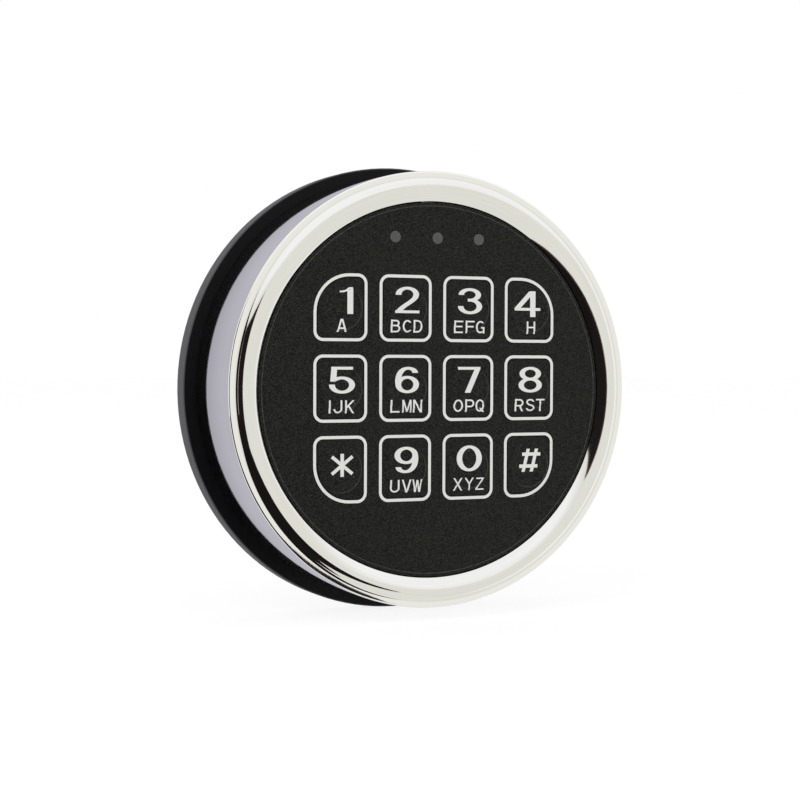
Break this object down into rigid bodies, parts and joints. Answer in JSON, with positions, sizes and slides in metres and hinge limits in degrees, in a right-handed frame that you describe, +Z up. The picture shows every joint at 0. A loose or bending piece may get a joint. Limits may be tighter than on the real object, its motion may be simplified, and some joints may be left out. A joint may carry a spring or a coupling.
{
  "type": "electronic safe lock keypad",
  "caption": "Round door-mounted safe lock keypad with a black flange, a chromed ring that turns the spindle, a black membrane key field and small indicator windows.",
  "frame": {"origin": "centre of the mounting screw pattern on the rear face, on the ring's axis", "axes": "+Y along the ring's axis into the door, -Y towards the user, +Z up, +X to the right seen from the front"},
  "size_m": [0.106, 0.0288, 0.106],
  "materials": {
    "black_base": "satin black",
    "chrome": "polished",
    "zinc": "as cast",
    "steel": "bright zinc",
    "nylon": "natural",
    "black_moulding": "matt",
    "battery_case": "lacquered",
    "soft_black": "matt",
    "lead_wire": "satin",
    "board": "solder mask",
    "led": "clear",
    "light_window": "smoked",
    "capacitor_can": "sleeved",
    "socket_white": "satin",
    "face_film": "fine grain",
    "print_grey": "ink"
  },
  "bodies": {
    "base": {"mounting_base": "black_base", "thrust_washer": "nylon", "keypad_housing": "black_moulding", "housing_screws": "steel", "battery": "battery_case", "battery_snap": "soft_black", "battery_leads": "lead_wire", "circuit_board": "board", "key_switches": "steel", "indicator_leds": "led", "light_windows": "light_window", "buzzer": "soft_black", "capacitor": "capacitor_can", "controller_chip": "soft_black", "cable_socket": "socket_white", "face_panel": "black_moulding", "face_film": "face_film", "key_frames": "print_grey"},
    "ring": {"knob_ring": "chrome", "drive_disc": "zinc", "drive_screws": "steel"},
    "key_1": {"key_1": "face_film"},
    "key_2": {"key_2": "face_film"},
    "key_3": {"key_3": "face_film"},
    "key_4": {"key_4": "face_film"},
    "key_5": {"key_5": "face_film"},
    "key_6": {"key_6": "face_film"},
    "key_7": {"key_7": "face_film"},
    "key_8": {"key_8": "face_film"},
    "key_star": {"key_star": "face_film"},
    "key_9": {"key_9": "face_film"},
    "key_0": {"key_0": "face_film"},
    "key_hash": {"key_hash": "face_film"}
  },
  "joints": [
    {"name": "ring_turn", "type": "hinge", "parent": "base", "child": "ring", "pos_m": [0, 0, 0], "axis": [0, 1, 0], "range_deg": [0, 90]},
    {"name": "key_1_press", "type": "slide", "parent": "base", "child": "key_1", "axis": [0, 1, 0], "range_m": [0, 0.00035], "stiffness_N_per_m": 1500, "springref_m": -0.0002},
    {"name": "key_2_press", "type": "slide", "parent": "base", "child": "key_2", "axis": [0, 1, 0], "range_m": [0, 0.00035], "stiffness_N_per_m": 1500, "springref_m": -0.0002},
    {"name": "key_3_press", "type": "slide", "parent": "base", "child": "key_3", "axis": [0, 1, 0], "range_m": [0, 0.00035], "stiffness_N_per_m": 1500, "springref_m": -0.0002},
    {"name": "key_4_press", "type": "slide", "parent": "base", "child": "key_4", "axis": [0, 1, 0], "range_m": [0, 0.00035], "stiffness_N_per_m": 1500, "springref_m": -0.0002},
    {"name": "key_5_press", "type": "slide", "parent": "base", "child": "key_5", "axis": [0, 1, 0], "range_m": [0, 0.00035], "stiffness_N_per_m": 1500, "springref_m": -0.0002},
    {"name": "key_6_press", "type": "slide", "parent": "base", "child": "key_6", "axis": [0, 1, 0], "range_m": [0, 0.00035], "stiffness_N_per_m": 1500, "springref_m": -0.0002},
    {"name": "key_7_press", "type": "slide", "parent": "base", "child": "key_7", "axis": [0, 1, 0], "range_m": [0, 0.00035], "stiffness_N_per_m": 1500, "springref_m": -0.0002},
    {"name": "key_8_press", "type": "slide", "parent": "base", "child": "key_8", "axis": [0, 1, 0], "range_m": [0, 0.00035], "stiffness_N_per_m": 1500, "springref_m": -0.0002},
    {"name": "key_star_press", "type": "slide", "parent": "base", "child": "key_star", "axis": [0, 1, 0], "range_m": [0, 0.00035], "stiffness_N_per_m": 1500, "springref_m": -0.0002},
    {"name": "key_9_press", "type": "slide", "parent": "base", "child": "key_9", "axis": [0, 1, 0], "range_m": [0, 0.00035], "stiffness_N_per_m": 1500, "springref_m": -0.0002},
    {"name": "key_0_press", "type": "slide", "parent": "base", "child": "key_0", "axis": [0, 1, 0], "range_m": [0, 0.00035], "stiffness_N_per_m": 1500, "springref_m": -0.0002},
    {"name": "key_hash_press", "type": "slide", "parent": "base", "child": "key_hash", "axis": [0, 1, 0], "range_m": [0, 0.00035], "stiffness_N_per_m": 1500, "springref_m": -0.0002}
  ]
}
